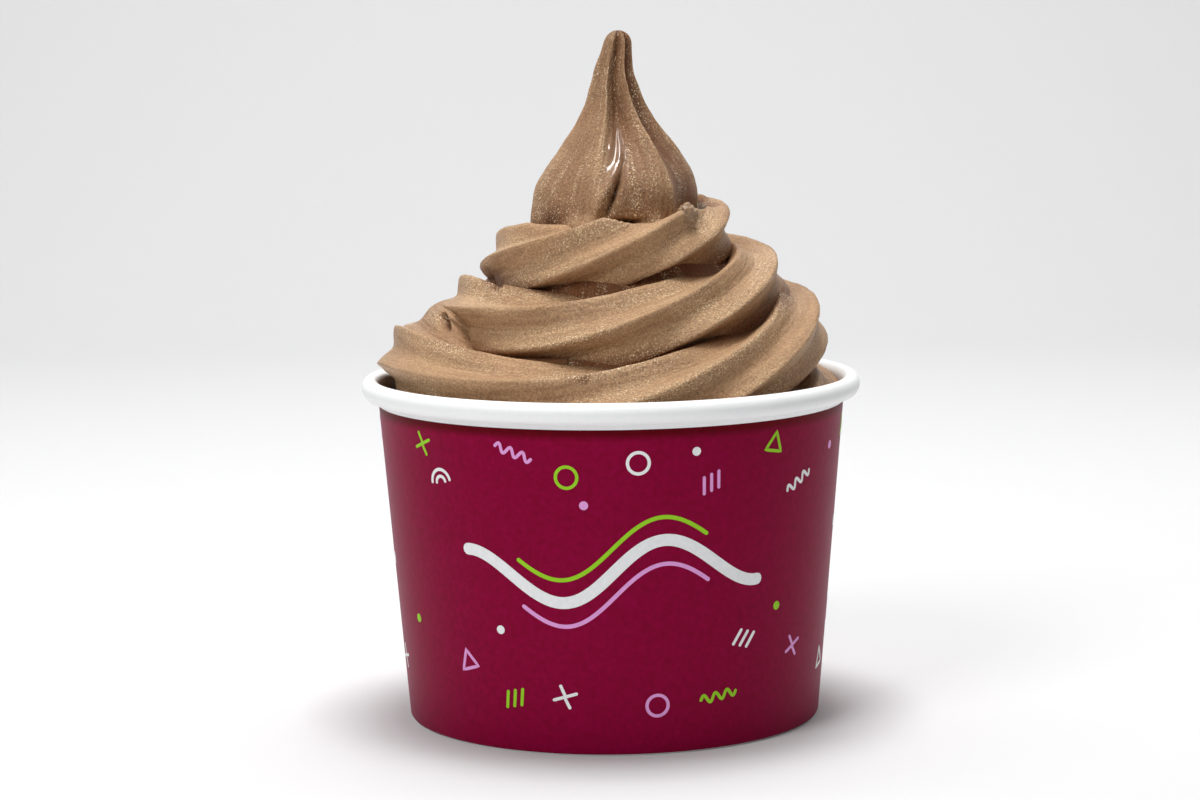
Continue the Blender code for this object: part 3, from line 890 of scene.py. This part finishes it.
# Each drip: its direction in degrees, its height and its reach.
DRIPS = ((262, 0.1285, 0.0008), (272, 0.1278, 0.0007))
DRIP_HALF_WIDTH = radians(3)
DRIP_HALF_HEIGHT = 0.003
WET_DRIP_HALF_WIDTH = radians(5)
WET_DRIP_HALF_HEIGHT = 0.0040
WET_DRIP_DROP = 0.0015
WET_LINE = 0.7
WET_LINE_Z = 0.139
WET_LINE_HALF_WIDTH = radians(7)
WET_LINE_HALF_HEIGHT = 0.008
# Each apron: its direction and half its width in degrees, and its reach.
APRONS = ((249, 11, 0.0024), (300, 5, 0.0012))
APRON_HEIGHT = 0.0038
# Painted shade low on the left of the foot.
RIBBED_SHADE = 0.5
RIBBED_MIDDLE = radians(222)
RIBBED_HALF_WIDTH = radians(14)
RIBBED_Z = 0.1125
RIBBED_HALF_HEIGHT = 0.0028
CREVICE_MIDDLE = radians(277)
CREVICE_HALF_WIDTH = radians(13)
CREVICE_Z = 0.1121
CREVICE_HALF_HEIGHT = 0.0007
CREVICE_DEPTH = 0.0030
# Painted shade in and around the crevice under the foot.
CREVICE_SHADE_MARGIN = 1.6


def bell(offset, width):
    """A smooth hump: 1 where the offset is nothing, and close to 0 from about two widths on."""
    return exp(-(offset / width) ** 2)


def share_between(low_values, high_values, number, share):
    """One of a row of values, on its way from the peak's foot to its tip."""
    return low_values[number] + (high_values[number] - low_values[number]) * share


def peak_flute(azimuth, share):
    """Which flute of the peak a direction is in, how open it is, and how far in it lies."""
    ridges = [radians(share_between(PEAK_RIDGES_AT_FOOT, PEAK_RIDGES_AT_TIP, number, share))
              for number in range(RIDGES)]
    past_first = (azimuth - ridges[0]) % (2 * pi)
    starts = [ridge - ridges[0] for ridge in ridges] + [2 * pi]
    number = max(place for place in range(RIDGES) if starts[place] <= past_first)
    across = (past_first - starts[number]) / (starts[number + 1] - starts[number])
    fade = min(max((share - FLUTE_CHANGE_FROM) / FLUTE_CHANGE, 0), 1)
    fade = fade * fade * (3 - 2 * fade)
    wave = sin(pi * across ** FLUTE_SKEWS[number])
    return number, fade, sqrt(wave ** 2 + FLUTE_ROUNDING ** 2) - FLUTE_ROUNDING


def beside_crease(azimuth, height):
    """How far round from the crease a direction is, and how strong the crease is up there."""
    crease = CREASE_FOOT + (height - CREASE_FOOT_Z) * CREASE_LEAN
    return azimuth - crease, bell(height - CREASE_MIDDLE_Z, CREASE_HALF_HEIGHT)


def in_crevice(azimuth, height, margin):
    """How far inside the crevice under the peak's foot a point is, from 0 to 1."""
    width = exp(-((azimuth - CREVICE_MIDDLE) / CREVICE_HALF_WIDTH) ** 4)
    return width * bell(height - CREVICE_Z, margin * CREVICE_HALF_HEIGHT)


def peak_relief(azimuth, height):
    """Relief on the peak's front: a nose with a crease beside it, two drips, the aprons where
    the foot runs out over the last turn, and the crevice under the foot."""
    past, tall = beside_crease(azimuth, height)
    relief = NOSE_REACH * tall * bell(past + NOSE_BESIDE_CREASE, NOSE_HALF_WIDTH)
    relief -= CREASE_DEPTH * tall * bell(past, CREASE_HALF_WIDTH)
    for place, level, reach in DRIPS:
        relief += (reach * bell(azimuth - radians(place), DRIP_HALF_WIDTH)
                   * bell(height - level, DRIP_HALF_HEIGHT))
    low = min(max(1 - (height - PEAK_FOOT_Z) / APRON_HEIGHT, 0), 1)
    for place, width, reach in APRONS:
        relief += reach * low ** 2 * bell(azimuth - radians(place), radians(width))
    return relief - CREVICE_DEPTH * in_crevice(azimuth, height, 1)


def peak_shade(azimuth, height, share):
    """The painted shade on a point of the peak, from 0 to 1: in its flutes, its crease, the crevice
    under its foot and low on the left of its foot.
    """
    number, fade, wave = peak_flute(azimuth, share)
    past, tall = beside_crease(azimuth, height)
    flute_shade = share_between(FLUTE_SHADES_AT_FOOT, FLUTE_SHADES_AT_TIP, number, fade)
    shade = max(flute_shade * wave ** SHADE_SPREAD,
                CREASE_SHADE * tall * bell(past, CREASE_SHADE_WIDTH),
                in_crevice(azimuth, height, CREVICE_SHADE_MARGIN))
    ribbed = (bell(azimuth - RIBBED_MIDDLE, RIBBED_HALF_WIDTH)
              * bell(height - RIBBED_Z, RIBBED_HALF_HEIGHT))
    return min(shade + RIBBED_SHADE * ribbed, 1)


def peak_wetness(azimuth, height, share):
    """How wet a point of the peak is: on the front ridge, where melted yogurt runs down."""
    melt = sum(bell(azimuth - radians(drip[0]), WET_DRIP_HALF_WIDTH)
               * bell(height - drip[1] + WET_DRIP_DROP, WET_DRIP_HALF_HEIGHT) for drip in DRIPS)
    ridge = radians(share_between(PEAK_RIDGES_AT_FOOT, PEAK_RIDGES_AT_TIP, 0, share))
    line = (WET_LINE * bell(azimuth - ridge, WET_LINE_HALF_WIDTH)
            * bell(height - WET_LINE_Z, WET_LINE_HALF_HEIGHT))
    return min(melt + line, 1)


def peak_sections():
    """Rings from the peak's rounded underside up to its tip, with their painted shade and
    wetness.
    """
    azimuths = [2 * pi * side / PEAK_SIDES for side in range(PEAK_SIDES)]
    sections = []
    shades = []
    wets = []
    for step in range(PEAK_STEPS + 1):
        share = 1 - (1 - step / PEAK_STEPS) ** PEAK_RING_CROWDING
        height = PEAK_UNDERSIDE_Z + (PEAK_TIP_Z - PEAK_UNDERSIDE_Z) * share
        if step == PEAK_STEPS:
            height = PEAK_TIP_Z - PEAK_TIP_FLAT
        place = max(height - PEAK_BASE_Z, 0) / PEAK_VALUE_STEP
        radius = smooth_between(PEAK_RADII, place)
        under = max(PEAK_BASE_Z - height, 0) / (PEAK_BASE_Z - PEAK_UNDERSIDE_Z)
        radius *= sqrt(1 - PEAK_UNDERSIDE_ROUNDING * under ** 2)
        tip = max(height - PEAK_TIP_Z + PEAK_TIP_ROUND, 0) / PEAK_TIP_ROUND
        radius *= sqrt(1 - tip ** 2)
        lean = smooth_between(PEAK_LEANS, place)
        rise = max(height - PEAK_BASE_Z, 0) / (PEAK_TIP_Z - PEAK_BASE_Z)
        ring = []
        for azimuth in azimuths:
            number, fade, wave = peak_flute(azimuth, rise)
            depth = share_between(FLUTES_AT_FOOT, FLUTES_AT_TIP, number, fade)
            reach = radius * (1 - depth * wave) + peak_relief(azimuth, height)
            point = Vector((reach * cos(azimuth), reach * sin(azimuth), height))
            if step < PEAK_STEPS:
                point *= 1 + lumps(point, PEAK_LUMPS) / max(reach, PEAK_LEAST_REACH)
            ring.append(Vector((lean + point.x, point.y, height)))
        sections.append(ring)
        shades.append([peak_shade(azimuth, height, rise) for azimuth in azimuths])
        wets.append([peak_wetness(azimuth, height, rise) for azimuth in azimuths])
    return sections, shades, wets


peak_rings, peak_shades, peak_wets = peak_sections()
peak = lofted("yogurt_peak", peak_rings, *PEAK_POINT_GAPS, peak_shades, peak_wets)
peak.data.materials.append(yogurt)
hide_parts("froyo_swirl")
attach(peak, "root")


# Lump: a frosty bit of the same yogurt that came off the rope as it broke. It is frozen on to the
# last turn beside the peak's foot, and its outside has begun to melt.
LUMP_RADIUS = 0.0027
LUMP_SLIMNESS = 0.85
LUMP_MIDDLE = (0.0168, -0.0176, 0.1134)
LUMP_BUMPS = ((500, 0.0007), (1700, 0.0004))
LUMP_WETNESS = 0.6
bpy.ops.object.select_all(action="DESELECT")
bpy.ops.mesh.primitive_ico_sphere_add(subdivisions=5, radius=LUMP_RADIUS, location=LUMP_MIDDLE)
lump = bpy.context.object
lump.name = "yogurt_lump"
bpy.ops.transform.resize(value=(LUMP_SLIMNESS, LUMP_SLIMNESS, 1.0))
bpy.ops.object.transform_apply()
for vert in lump.data.vertices:
    vert.co += (vert.co - Vector(LUMP_MIDDLE)).normalized() * lumps(vert.co, LUMP_BUMPS)
lump_wetness = lump.data.attributes.new("wet", "FLOAT", "POINT")
for spot in lump_wetness.data:
    spot.value = LUMP_WETNESS
bpy.ops.object.shade_smooth()
lump.data.materials.append(yogurt)
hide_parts("froyo_swirl")
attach(lump, "root")


# Filling: the yogurt that fills the cup to just under its rim, and the middle of the swirl
# that the coil's turns lie round.
FILL_Z = 0.0705
FILL_FOOT_Z = 0.0085
CORE_SIDES = 128
CORE_STEPS = 40
CORE_EDGE_RISE = 0.001
CORE_TOP_Z = 0.1100
CORE_SWELL = 0.0020
CORE_MOST_RADIUS = 0.045
CORE_PAST_END = 0.25
# Painted shade: the swirl's middle and the filling are darkened, as they lie deep between the
# turns.
CORE_SHADE = 0.7
FILL_SHADE = 0.3
FILL_POINT_GAPS = (0.001, 0.002)


def core_radius(around, height):
    """Distance from the axis to the line that joins the rope's middles, one above the other."""
    turn = around / (2 * pi)
    middles = []
    while turn <= END_TURN + CORE_PAST_END:
        middles.append(rope_middle(turn))
        turn += 1
    if height <= middles[0][1]:
        return middles[0][0]
    for (radius, low), (next_radius, high) in zip(middles, middles[1:]):
        if height <= high:
            return radius + (next_radius - radius) * (height - low) / (high - low)
    return middles[-1][0] - (height - middles[-1][1])


core_heights = [FILL_Z + CORE_EDGE_RISE
                + (CORE_TOP_Z - FILL_Z - CORE_EDGE_RISE) * step / CORE_STEPS
                for step in range(CORE_STEPS + 1)]
fill_sections = []
for height in [FILL_FOOT_Z, FILL_Z] + core_heights:
    ring = []
    for side in range(CORE_SIDES):
        around = 2 * pi * side / CORE_SIDES
        reach = wall_inside(height) - CLEARANCE
        if height > FILL_Z:
            reach = min(core_radius(around, height) + CORE_SWELL, CORE_MOST_RADIUS)
        ring.append(inside_cup(Vector((reach * cos(around), reach * sin(around), height))))
    fill_sections.append(ring)
fill_shades = [[FILL_SHADE] * CORE_SIDES] * 2 + [[CORE_SHADE] * CORE_SIDES] * len(core_heights)
filling = lofted("yogurt_filling", fill_sections, *FILL_POINT_GAPS, fill_shades)
filling.data.materials.append(yogurt)
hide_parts("froyo_swirl")
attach(filling, "root")


# Web: on the left the second turn sank into the first while both were soft, and closed the notch
# between them. It ends in front at a torn edge, with a small hole left open behind it.
WEB_LINE = ((0.0340, 0.0945), (0.0360, 0.0941), (0.0378, 0.0937), (0.0392, 0.0931),
            (0.0404, 0.0922), (0.0414, 0.0910), (0.0423, 0.0899), (0.0433, 0.0892),
            (0.0448, 0.0888), (0.0462, 0.0884))
WEB_FROM = radians(140)
WEB_TO = radians(255)
WEB_STEPS = 250
WEB_POINTS = 60
WEB_PLACE = radians(185)
WEB_BACK_EDGE = radians(160)
WEB_FRONT_EDGE = (197, 199, 202, 204, 204, 204, 204, 200)
WEB_FADES = (12, 12, 12, 13, 22, 38, 46, 46)
WEB_RAGGEDNESS = radians(2.2)
WEB_DEPTH = 0.0085
WEB_INWARDS = Vector((0.8, 0.6))
WEB_INSIDE = ((0.0400, 0.0830), (0.0330, 0.0850), (0.0300, 0.0920))
WEB_MIDDLE = (0.030, 0.088)
WEB_MEAN_RADIUS = 0.04
WEB_LUMPS = ((300, 0.00012),)
# Painted shade: the whole web is darkened a little, and much more where it sinks out of sight under
# the turns, so that it reads as a crevice.
WEB_SHADE = 0.18
WEB_SUNK_SHADE = 0.7
WEB_SUNK_FROM = 0.3
WEB_POINT_GAPS = (0.0004, 0.0003)
web_sections = []
web_shades = []
for step in range(WEB_STEPS + 1):
    around = WEB_FROM + (WEB_TO - WEB_FROM) * step / WEB_STEPS
    shifts = []
    for turn in (1 + around / (2 * pi), around / (2 * pi)):
        radius, height = rope_middle(turn)
        old_radius, old_height = rope_middle(turn - (around - WEB_PLACE) / (2 * pi))
        shifts.append(Vector((radius - old_radius, height - old_height)))
    ring = []
    web_painted_shades = []
    for place in range(WEB_POINTS + 1):
        down = place / WEB_POINTS
        across = down * (len(WEB_LINE) - 1)
        point = Vector([smooth_between([spot[axis] for spot in WEB_LINE], across)
                        for axis in (0, 1)])
        point += shifts[0] * (1 - down) + shifts[1] * down
        ragged = WEB_RAGGEDNESS * noise.noise(Vector((down * 14, 3.0, 0)))
        front_edge = radians(smooth_between(WEB_FRONT_EDGE, down * (len(WEB_FRONT_EDGE) - 1)))
        fade = radians(smooth_between(WEB_FADES, down * (len(WEB_FADES) - 1)))
        past = max((around - front_edge - ragged) / fade, (WEB_BACK_EDGE - around) / fade)
        gone = min(max(past, 0), 1)
        sunk = WEB_DEPTH * gone * gone * (3 - 2 * gone)
        sunk_shade = WEB_SUNK_SHADE * min(max(2 * (gone - WEB_SUNK_FROM), 0), 1)
        web_painted_shades.append(sunk_shade if around > WEB_PLACE else 0)
        bump = lumps(Vector((point.x, around * WEB_MEAN_RADIUS, point.y)), WEB_LUMPS)
        ring.append(point - WEB_INWARDS * (sunk - bump))
    ring += [Vector(corner) for corner in WEB_INSIDE]
    web_painted_shades += [WEB_SUNK_SHADE] * len(WEB_INSIDE)
    middle, *points = [Vector((spot[0] * cos(around), spot[0] * sin(around), spot[1]))
                       for spot in [WEB_MIDDLE] + ring]
    web_shades.append([max(painted_hollow_shade(point), share, WEB_SHADE)
                       for point, share in zip(points, web_painted_shades)])
    web_sections.append([dented(point, middle) for point in points])
web = lofted("yogurt_web", web_sections, *WEB_POINT_GAPS, web_shades)
web.data.materials.append(yogurt)
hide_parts("froyo_swirl")
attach(web, "root")
